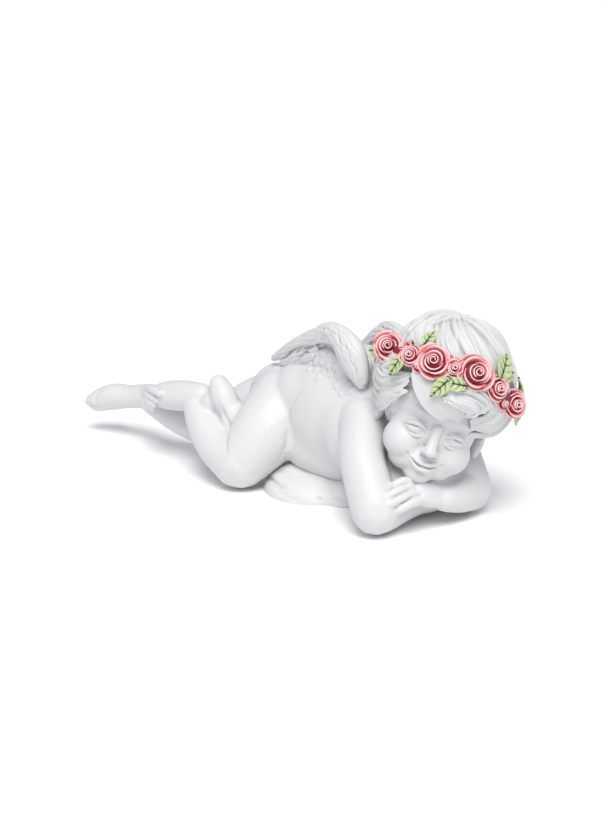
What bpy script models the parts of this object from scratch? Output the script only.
"""A cherub figurine lying on its front, with its chin on its crossed arms and a wreath of roses.

The figure, its wings, its cloth and its wreath are one resin casting, so they are one solid here.
It is drawn in millimetres at its own length and brought to FIGURE_LENGTH at the end, so every
proportion of the figure is a share of that length. +X runs from the feet to the head, +Y to the
figure's left side, and +Z up from the table.
"""

import math

import bmesh
import bpy
import numpy as np
from mathutils import Matrix, Vector

# Driving sizes, in metres.
FIGURE_LENGTH = 0.215
ROSE_LARGE = 0.0118
ROSE_SMALL = 0.0082
LEAF_LENGTH = 0.0081

# The figure is drawn in millimetres at this length.
DRAWN_LENGTH = 226.2
MM = FIGURE_LENGTH / DRAWN_LENGTH

# How finely the body, the head and the whole are fused, and how often each skin is smoothed.
BODY_GRAIN, BODY_SMOOTHING = 0.9, 6
HEAD_GRAIN, HEAD_SMOOTHING = 0.55, 3
WHOLE_GRAIN, WHOLE_SMOOTHING = 0.65, 1
# The triangles the solid may have, where the carving is fine and on the plain rest.
FINE_TRIANGLES, PLAIN_TRIANGLES = 6900, 2700
# Where the carving is finest, as (x, y, z, reach) of each place, drawn.
FINE_PLACES = ((1.2, 4, 48, 38), (4, -16, 16, 16), (-141, -34, 28, 10), (-188, -27, 15, 10), (-45, -9, 62, 24))

# The head: its middle, the way it looks, its crown, and the radius of the hair.
HEAD_CENTRE = Vector((1.2, 8.0, 55.0))
HEAD_FORWARD = Vector((0.760, -0.648, -0.0475))
HEAD_UP = Vector((0.256, 0.274, 0.927))
HAIR_RADIUS = 28.4

# The wreath, as (degrees round the head from the face, degrees above the middle, large rose).
# The first seven are in view; the rest carry the ring on round the back of the head.
ROSES = (
    (-84, 16, True), (-54, 25, False), (-29, 30, True), (-11, 31, False), (9, 31, True),
    (36, 25, False), (62, 14, True),
    (90, 6, False), (116, 0, True), (145, -4, False), (174, -6, True), (203, -4, False),
    (231, 1, True), (254, 8, False),
)
# Leaves as (round, above, heading in degrees).
LEAVES = (
    (-97, 2, 200), (-55, 11, 250), (-46, 42, 100), (-14, 14, 255), (-4, 20, 215), (42, 42, 60),
    (72, 0, 300), (103, 14, 70), (131, -12, 280), (160, 7, 90), (188, -16, 270), (217, 9, 80),
    (243, -8, 260),
)

RESIN_WHITE = (0.86, 0.86, 0.85, 1.0)
RESIN_ROUGHNESS = 0.55


def clear_scene():
    for thing in list(bpy.data.objects):
        bpy.data.objects.remove(thing, do_unlink=True)


def ball(clay, centre, radii, turn=(0.0, 0.0, 0.0), rings=3):
    """An egg of clay: radii is one number or three, turn is in degrees about X, Y and Z."""
    if isinstance(radii, (int, float)):
        radii = (radii,) * 3
    angles = [math.radians(a) for a in turn]
    spin = Matrix.Rotation(angles[2], 4, "Z") @ Matrix.Rotation(angles[1], 4, "Y")
    spin = spin @ Matrix.Rotation(angles[0], 4, "X")
    place = Matrix.Translation(centre) @ spin @ Matrix.Diagonal((*radii, 1.0))
    bmesh.ops.create_icosphere(clay, subdivisions=rings, radius=1.0, matrix=place)


def through(stations, steps):
    """Points of a smooth curve through the stations, each a row of numbers."""
    rows = [np.array(s, float) for s in stations]
    rows = [2 * rows[0] - rows[1], *rows, 2 * rows[-1] - rows[-2]]
    made = []
    for a, b, c, d in zip(rows, rows[1:], rows[2:], rows[3:]):
        for i in range(steps):
            t = i / steps
            made.append(
                0.5 * (2 * b + (c - a) * t + (2 * a - 5 * b + 4 * c - d) * t**2
                       + (3 * b - a - 3 * c + d) * t**3)
            )
    made.append(rows[-2])
    return made


def limb(clay, stations, steps=4, sides=14, flat=1.0, across=(0.0, 0.0, 1.0)):
    """A tapered roll of clay through stations of (x, y, z, radius), with round ends.

    flat under 1 presses the roll thinner along the direction across."""
    rows = through(stations, steps)
    loops = []
    press = Vector(across).normalized()
    for i, row in enumerate(rows):
        ahead = rows[min(i + 1, len(rows) - 1)][:3] - rows[max(i - 1, 0)][:3]
        along = Vector(ahead).normalized()
        side = along.cross(press).normalized()
        up = side.cross(along).normalized()
        radius = max(row[3], 0.15)
        place = Matrix((side * radius, up * radius * flat, along)).transposed().to_4x4()
        place.translation = Vector(row[:3])
        made = bmesh.ops.create_circle(
            clay, cap_ends=i in (0, len(rows) - 1), segments=sides, radius=1.0, matrix=place
        )
        ring = set(made["verts"])
        loops.append([e for v in ring for e in v.link_edges if e.other_vert(v) in ring])
        if i:
            bmesh.ops.bridge_loops(clay, edges=list(set(loops[-2]) | set(loops[-1])))
    for row in (rows[0], rows[-1]):
        ball(clay, row[:3], max(row[3], 0.15) * flat, rings=2)


def fuse(name, clay, grain, smoothing):
    """Fuses the overlapping shapes into one skin and smooths the joins between them."""
    bmesh.ops.recalc_face_normals(clay, faces=clay.faces)
    mesh = bpy.data.meshes.new(name)
    clay.to_mesh(mesh)
    clay.free()
    thing = bpy.data.objects.new(name, mesh)
    bpy.context.scene.collection.objects.link(thing)
    skin = thing.modifiers.new("Skin", "REMESH")
    skin.mode = "VOXEL"
    skin.voxel_size = grain
    soften = thing.modifiers.new("Soften", "SMOOTH")
    soften.factor = 0.5
    soften.iterations = smoothing
    return apply_modifiers(thing)


def apply_modifiers(thing):
    graph = bpy.context.evaluated_depsgraph_get()
    baked = bpy.data.meshes.new_from_object(thing.evaluated_get(graph), depsgraph=graph)
    thing.modifiers.clear()
    old = thing.data
    thing.data = baked
    bpy.data.meshes.remove(old)
    return thing


def torso(clay):
    """Chest, belly, pelvis and the two buttocks, and the solid resin under the chest."""
    ball(clay, (-31, 4, 36), (20, 19, 15), turn=(0, -8, 0))
    ball(clay, (-56, 5, 26), (25, 19, 21))
    ball(clay, (-55, 4, 14), (26, 18, 13))
    ball(clay, (-74, -12, 14), 10)
    ball(clay, (-80, 8, 29), (19, 19, 17))
    ball(clay, (-90, -1, 32.5), (14.5, 14.5, 15))
    ball(clay, (-87, 20, 32), (14.5, 14.5, 15))
    ball(clay, (-11, 3, 15), (19, 20, 14.5))
    limb(clay, [(-22, 4, 44, 10), (-14, 5, 48, 11), (-6, 6, 48, 12)])


def legs(clay):
    # The near leg: thigh to the knee on the table, shin back and up, foot laid over the far ankle.
    limb(clay, [(-84, -3, 31, 16), (-83, -18, 23, 13), (-83, -30, 11.5, 10.8)])
    limb(clay, [(-83, -31, 11, 10.6), (-96, -32.5, 16.5, 8.6), (-107, -31, 24, 7), (-116, -28, 31, 5.2)])
    limb(clay, [(-113, -27, 31.5, 5.4), (-124, -28.5, 31.8, 5.9), (-134, -31, 30, 5.5), (-138, -32.5, 28.5, 4.4)])
    # The heel of the near foot, behind the ankle.
    limb(clay, [(-102, -25.5, 40, 4.4), (-98.5, -25.8, 35.5, 5.6), (-94.5, -26, 31, 4.6)])
    ball(clay, (-104.5, -27.5, 32), 4.6)
    # The far leg passes under the near one and ends sole up.
    limb(clay, [(-86, 19, 31, 15), (-101, 10, 27.5, 13), (-113, 0, 22.5, 11.3), (-120, -9, 12.5, 10)])
    limb(clay, [(-119, -10, 11.5, 9.4), (-137, -19, 15.5, 7.3), (-152, -24, 20.5, 5.3)])
    limb(clay, [(-151, -22.5, 22, 5.8), (-160, -22, 21.5, 5.8), (-170, -23.5, 19, 5.4), (-180, -26.5, 17.5, 5.9),
                (-186, -29, 15.5, 4.6)])


def arms(clay):
    # The right arm: its forearm runs under the chin to the far side.
    limb(clay, [(-27, -10.5, 41, 11), (-17, -21.5, 28, 8.6), (-2, -27, 10.5, 10)])
    limb(clay, [(-3, -24, 10, 9.6), (-6, -6, 9.5, 8), (-5, 10, 9, 6.8)])
    limb(clay, [(-5, 10, 8.5, 6), (-5, 19, 6, 6), (-5, 26, 4.5, 5)], flat=0.7)
    # The left arm: its forearm lies in front, with the hand on the right forearm.
    limb(clay, [(-24, 19, 41, 11), (-9, 21, 27, 9), (3.5, 19, 10.5, 8.8)])
    limb(clay, [(3.5, 19, 9.8, 8.8), (7, 9, 10.5, 7.2), (8.5, 0, 11.5, 5.3)])
    palm_out = (0.66, 0.02, 0.75)
    limb(clay, [(8, 1, 12, 4.8), (7, -7, 14.6, 6), (6.5, -13, 16.8, 5.6)], flat=0.62, across=palm_out)


def fingers(clay):
    """The four fingers of the left hand, over the right forearm."""
    places = (
        ((3.3, -14, 20.4), (-0.6, -20.5, 18.6)),
        ((5.1, -15.5, 18.4), (0.8, -24.2, 15.7)),
        ((7.6, -15.5, 16.2), (3.2, -24.6, 12.8)),
        ((9.8, -13.5, 14.0), (6.0, -22.0, 10.4)),
    )
    for base, tip in places:
        middle = tuple(0.5 * (b + t) for b, t in zip(base, tip))
        knuckle = (middle[0] + 0.7, middle[1] - 0.2, middle[2] + 0.8)
        limb(clay, [(*base, 2.3), (*knuckle, 2.25), (*tip, 1.9)], sides=10)


def toes(clay):
    """The toes of both feet; the near foot hangs its toes over the far ankle."""
    for i in range(4):
        out = 2.4 * i
        limb(clay, [(-134.5 - 0.2 * out, -31.5 - 0.45 * out, 32.6 - 1.0 * out, 2.1),
                    (-140 + 0.1 * out, -33.7 - 0.4 * out, 30.6 - 1.0 * out, 1.85)], sides=10)
    for i in range(5):
        out = 2.15 * i
        limb(clay, [(-183 - 0.3 * out, -29 + 0.92 * out, 17.6 - 0.24 * out, 2.7 - 0.12 * i),
                    (-190.5 + 0.3 * out, -31.5 + 0.92 * out, 14.6 - 0.24 * out, 2.6 - 0.2 * i)], sides=10)


def head_frame():
    """The head's own frame: the face looks along -Y, +X is the figure's left ear, +Z the crown."""
    forward = HEAD_FORWARD.normalized()
    side = forward.cross(HEAD_UP).normalized()
    up = side.cross(forward).normalized()
    turn = Matrix((-side, -forward, up)).transposed()
    return Matrix.Translation(HEAD_CENTRE) @ turn.to_4x4()


def on_head(round_deg, above_deg, radius=HAIR_RADIUS):
    """A place on the ball of the hair, in the head's frame."""
    a, b = math.radians(round_deg), math.radians(above_deg)
    return Vector((math.sin(a) * math.cos(b), -math.cos(a) * math.cos(b), math.sin(b))) * radius


def lock(clay, places, width, lift=0.0):
    """A lock of hair through places of (round, above) on the head, tapering to both ends."""
    stations = []
    for i, (a, b) in enumerate(places):
        share = i / (len(places) - 1)
        size = width * (0.6 + 0.4 * math.sin(math.pi * min(1.0, share + 0.15)))
        stations.append((*on_head(a, b, HAIR_RADIUS - 0.4 * width + lift), size))
    middle = Vector(stations[len(stations) // 2][:3])
    limb(clay, stations, steps=4, sides=8, flat=0.62, across=middle)


def swathe(clay, first, last, count, width, lift=0.0):
    """A run of locks laid side by side between a first and a last one."""
    for i in range(count):
        share = i / (count - 1)
        wave = 0.5 * math.sin(2.4 * i)
        places = [
            (a + (c - a) * share + wave, b + (d - b) * share) for (a, b), (c, d) in zip(first, last)
        ]
        lock(clay, places, width * (1.0 + 0.14 * math.sin(3.1 * i)), lift + 0.35 * math.sin(4.3 * i))


def add_moved(clay, part, place):
    """Moves a part built in its own frame to its place and adds it to the clay."""
    bmesh.ops.transform(part, matrix=place, verts=part.verts)
    moved = bpy.data.meshes.new("moved")
    part.to_mesh(moved)
    part.free()
    clay.from_mesh(moved)
    bpy.data.meshes.remove(moved)


def head(clay):
    mine = bmesh.new()
    ball(mine, (0, 5, 1), (23.5, 25, 24.5))
    ball(mine, (-1, -2, -5), (21, 19.5, 17))
    ball(mine, (0.5, -5.5, -14), (17.5, 16.5, 17))
    for s in (-1, 1):
        ball(mine, (9.2 * s - 0.4, -12, -25), (8.4, 8.4, 8.2))
    ball(mine, (0, -12, -27), (10, 9.5, 8))
    ball(mine, (0, -15.5, -32.5), (6, 5.5, 4.8))
    ball(mine, (0, -2, -28), (13, 13, 9))
    limb(mine, [(0, -19.6, -15.5, 2.4), (0, -21.8, -19.5, 2.5), (0, -24.2, -23, 2.8)])
    for s in (-1, 1):
        ball(mine, (2.9 * s, -22, -24), 1.8, rings=2)
        ball(mine, (8.9 * s, -16.2, -16.5), (4.6, 4.2, 3.6))
        limb(mine, [(4.5 * s, -20.8, -12, 1.3), (9.5 * s, -20.2, -10.4, 1.6), (14.5 * s, -16.8, -12.5, 1.3)])
    limb(mine, [(-6, -19.6, -27.2, 1.0), (-2, -22.8, -28.2, 1.5), (2, -22.8, -28.2, 1.5), (6, -19.6, -27.2, 1.0)])
    limb(mine, [(-4, -20.6, -30.2, 1.1), (0, -22.4, -30.9, 1.7), (4, -20.6, -30.2, 1.1)])
    for s in (-1, 1):
        ball(mine, (20 * s, 1.5, -17), (2.6, 4.6, 7), turn=(-12, 0, 14 * s))
    add_moved(clay, mine, head_frame())


def ring_height(round_deg):
    """How far above the middle the wreath runs, at a place round the head."""
    return 12.5 + 20 * math.cos(math.radians(round_deg + 8))


def hair(clay):
    mine = bmesh.new()
    ball(mine, (0, 4.5, 3.5), (25.6, 24.5, 23))
    ball(mine, (0, 11, -7), (20.5, 15.5, 17))
    # The fringe sweeps from the wreath across the brow to the figure's left.
    swathe(mine, [(-38, 25), (-31, 13), (-15, 1), (5, -9), (24, -17)],
           [(-4, 26), (3, 12), (12, 2), (22, -5), (33, -10)], 7, 2.9)
    swathe(mine, [(4, 28), (14, 16), (26, 5), (35, -4)],
           [(44, 22), (52, 8), (53, -8), (45, -20)], 6, 2.9)
    swathe(mine, [(52, 18), (61, 4), (64, -12), (56, -26)],
           [(88, 8), (92, -8), (88, -26), (76, -40)], 6, 3.0)
    # Curls beside the near cheek.
    swathe(mine, [(-56, 20), (-68, 6), (-64, -8), (-46, -11)],
           [(-94, 10), (-108, -10), (-98, -30), (-72, -33)], 6, 3.0, lift=-0.6)
    swathe(mine, [(-92, -24), (-84, -38), (-68, -40)], [(-100, -34), (-92, -48), (-76, -50)], 3, 2.6, lift=-3.5)
    # The crown: locks run from the parting down to the wreath, all the way round.
    for i in range(26):
        a = i * 360 / 26
        level = ring_height(a)
        lock(mine, [(a - 26, 80), (a - 14, 66 - 0.1 * level), (a - 2, 48), (a + 4, level + 2)],
             3.5 + 0.5 * math.sin(2.7 * i), lift=-0.4 + 0.4 * math.sin(4.1 * i))
    # Behind, the ends curl up on the neck.
    swathe(mine, [(98, 4), (104, -14), (102, -32), (92, -44)],
           [(262, 4), (256, -14), (254, -32), (262, -44)], 14, 3.4, lift=-1.6)
    add_moved(clay, mine, head_frame())


def rose(clay, place, size):
    """A rose facing +Z of its place: two rings of petals round a rolled heart."""
    mine = bmesh.new()
    r = size / 2
    ball(mine, (0, 0, -0.2 * r), (0.86 * r, 0.86 * r, 0.55 * r))
    for reach, height, thick, petals in ((0.74, 0.1, 0.25, 5), (0.38, 0.34, 0.2, 4)):
        ring = []
        for i in range(4 * petals + 1):
            a = math.tau * i / (4 * petals)
            swell = 1.0 + 0.08 * math.cos(petals * a)
            ring.append((reach * r * swell * math.cos(a), reach * r * swell * math.sin(a),
                         height * r, thick * r))
        limb(mine, ring, steps=1, sides=8)
    ball(mine, (0, 0, 0.42 * r), (0.17 * r, 0.17 * r, 0.22 * r), rings=2)
    add_moved(clay, mine, place)


def facing_out(round_deg, above_deg, radius, heading=0.0):
    """A frame on the head with +Z pointing out of it and +X turned by the heading."""
    out = on_head(round_deg, above_deg, 1.0)
    place = out.to_track_quat("Z", "Y").to_matrix().to_4x4()
    place.translation = out * radius
    return head_frame() @ place @ Matrix.Rotation(math.radians(heading), 4, "Z")


def wreath(clay):
    for a, b, is_large in ROSES:
        size = (ROSE_LARGE if is_large else ROSE_SMALL) / MM
        rose(clay, facing_out(a, b, HAIR_RADIUS + 1.6), size)
    # The stem the roses sit on.
    ring = [(*on_head(a, b, HAIR_RADIUS - 0.9), 2.6) for a, b, _ in (*ROSES, ROSES[0])]
    mine = bmesh.new()
    limb(mine, ring, steps=3, sides=10)
    add_moved(clay, mine, head_frame())
    half = LEAF_LENGTH / MM / 2
    for a, b, heading in LEAVES:
        mine = bmesh.new()
        ball(mine, (0, 0, 0), (half, 0.55 * half, 1.2), rings=2)
        add_moved(clay, mine, facing_out(a, b, HAIR_RADIUS + 0.5, heading))


def wings(clay):
    """Two small folded wings, each an arch of long feathers from the shoulder to the rump."""
    near = (
        # The rows are x and z along the feather; the last number is its radius.
        ((-28, 46), (-27.5, 58), (-32, 69), (-40, 74.3), (-52, 71.3), (-66, 63.5), (-80, 55), (-91, 49.5), 3.3),
        ((-32, 46), (-31.5, 57), (-35.5, 67), (-43, 71), (-54, 68), (-66, 61), (-78, 54), (-86, 50), 3.3),
        ((-36, 46), (-35.5, 56), (-38.5, 64), (-45, 67.2), (-54, 66), (-63, 61), 3.0),
        ((-40.5, 46), (-39.5, 54), (-41.5, 60), (-46, 63.2), 2.7),
    )
    far = (
        ((-26, 46), (-25.5, 58), (-30, 67.5), (-38, 71.5), (-46.5, 68), (-53, 60), (-62, 53), (-74, 48.5), 3.4),
        ((-30, 46), (-29.5, 57), (-33, 64.5), (-39, 67.5), (-45, 64), (-50, 57), (-58, 51), 3.2),
        ((-34, 46), (-33.5, 54), (-36, 60), (-40, 63), (-44, 59), (-49, 52), 3.0),
    )
    for s, feathers, out in ((-1, near, -11), (1, far, 16)):
        for row, (*path, radius) in enumerate(feathers):
            lean = (0.2, 1.1, 0.1, 1.2)[row]
            stations = []
            for i, (x, z) in enumerate(path):
                share = i / (len(path) - 1)
                y = out - s * (lean + 6.0 * max(0.0, share - 0.45))
                if i == 0:
                    y -= 2.5 * s
                stations.append((x, y, z, radius * (1.12 - 0.42 * share)))
            limb(clay, stations, sides=12)
        # The inner face of the wing, set back under the arch.
        ball(clay, (-48, out - 4.8 * s, 54 - 3 * (s + 1)), (19, 3.4, 11.5))
    # The short feathers under the near wing, over the rump.
    for i in range(4):
        limb(clay, [(-52 - 5 * i, -7.6, 57.5 - 2.8 * i, 2.2), (-60 - 5 * i, -8.8, 57 - 2.8 * i, 2.8),
                    (-68 - 5 * i, -7, 53 - 2.4 * i, 2)], sides=10)
    ball(clay, (-70, -3.5, 50), (17, 3.4, 6), turn=(0, -25, 0))


def cloth(clay):
    """The folded cloth under the belly: a flat pad whose rim is gathered into folds."""
    ball(clay, (-56, 0, 0), (29.5, 26.5, 7))
    ball(clay, (-76, -17, 1), (12, 11, 6))
    for i in range(22):
        a = i * math.tau / 22 + 0.3 * math.sin(3 * i)
        rim = 1.0 + 0.03 * math.sin(5 * i)
        bend = a + 0.12 * math.sin(2.3 * i)
        x, y = math.cos(a), math.sin(a)
        u, v = math.cos(bend), math.sin(bend)
        limb(clay, [(-56 + 19 * x, 17 * y, 6.0, 1.6), (-56 + 25 * u * rim, 22.5 * v * rim, 4.6, 2.3),
                    (-56 + 29 * x * rim, 26 * y * rim, 0.8, 2.1)], steps=3, sides=8)


def thin_out(figure):
    """Thins the skin in two passes, first where it is plain and then where the carving is fine."""
    for passing in ("plain", "fine"):
        places = np.empty(len(figure.data.vertices) * 3)
        figure.data.vertices.foreach_get("co", places)
        places = places.reshape(-1, 3)
        nearest = np.full(len(places), np.inf)
        for x, y, z, reach in FINE_PLACES:
            nearest = np.minimum(nearest, np.linalg.norm(places - (x, y, z), axis=1) / reach)
        chosen = nearest > 1.0 if passing == "plain" else nearest <= 1.0
        group = figure.vertex_groups.new(name=passing)
        group.add(np.flatnonzero(chosen).tolist(), 1.0, "REPLACE")
        triangles = sum(len(f.vertices) - 2 for f in figure.data.polygons)
        kept = triangles * np.count_nonzero(~chosen) / len(chosen)
        wanted = PLAIN_TRIANGLES + kept if passing == "plain" else PLAIN_TRIANGLES + FINE_TRIANGLES
        thin = figure.modifiers.new("Thin", "DECIMATE")
        thin.ratio = wanted / triangles
        thin.vertex_group = group.name
        thin.vertex_group_factor = 1.0
        apply_modifiers(figure)
        figure.vertex_groups.clear()


def cut_flat(mesh):
    """Cuts the underside flat on the table and closes it."""
    body = bmesh.new()
    body.from_mesh(mesh)
    everything = [*body.verts, *body.edges, *body.faces]
    made = bmesh.ops.bisect_plane(
        body, geom=everything, plane_co=(0, 0, 0), plane_no=(0, 0, -1), clear_outer=True
    )
    rim = [e for e in made["geom_cut"] if isinstance(e, bmesh.types.BMEdge)]
    bmesh.ops.holes_fill(body, edges=rim, sides=0)
    bmesh.ops.triangulate(body, faces=[f for f in body.faces if len(f.verts) > 3])
    bmesh.ops.recalc_face_normals(body, faces=body.faces)
    body.to_mesh(mesh)
    body.free()


def stand_at_origin(mesh):
    """Moves the mesh so that the origin is under its middle, on the table."""
    places = np.empty(len(mesh.vertices) * 3)
    mesh.vertices.foreach_get("co", places)
    places = places.reshape(-1, 3)
    low, high = places.min(axis=0), places.max(axis=0)
    middle = (low + high) / 2
    mesh.transform(Matrix.Translation((-middle[0], -middle[1], 0.0)))
    return middle


def white_resin():
    resin = bpy.data.materials.new("white_resin")
    resin.use_nodes = True
    shader = resin.node_tree.nodes["Principled BSDF"]
    shader.inputs["Base Color"].default_value = RESIN_WHITE
    shader.inputs["Roughness"].default_value = RESIN_ROUGHNESS
    shader.inputs["Metallic"].default_value = 0.0
    return resin


def build():
    clear_scene()
    body_clay = bmesh.new()
    for shape in (torso, legs, arms, wings, cloth):
        shape(body_clay)
    body = fuse("body", body_clay, BODY_GRAIN, BODY_SMOOTHING)
    head_clay = bmesh.new()
    for shape in (head, hair):
        shape(head_clay)
    top = fuse("head", head_clay, HEAD_GRAIN, HEAD_SMOOTHING)
    whole = bmesh.new()
    whole.from_mesh(body.data)
    whole.from_mesh(top.data)
    fingers(whole)
    toes(whole)
    wreath(whole)
    for part in (body, top):
        bpy.data.objects.remove(part, do_unlink=True)
    figure = fuse("angel_figurine", whole, WHOLE_GRAIN, WHOLE_SMOOTHING)
    thin_out(figure)
    figure.data.transform(Matrix.Diagonal((MM, MM, MM, 1.0)))
    cut_flat(figure.data)
    moved = stand_at_origin(figure.data)
    for face in figure.data.polygons:
        face.use_smooth = True
    figure.data.materials.append(white_resin())
    print("triangles", len(figure.data.polygons))
    return moved


MOVED = build()
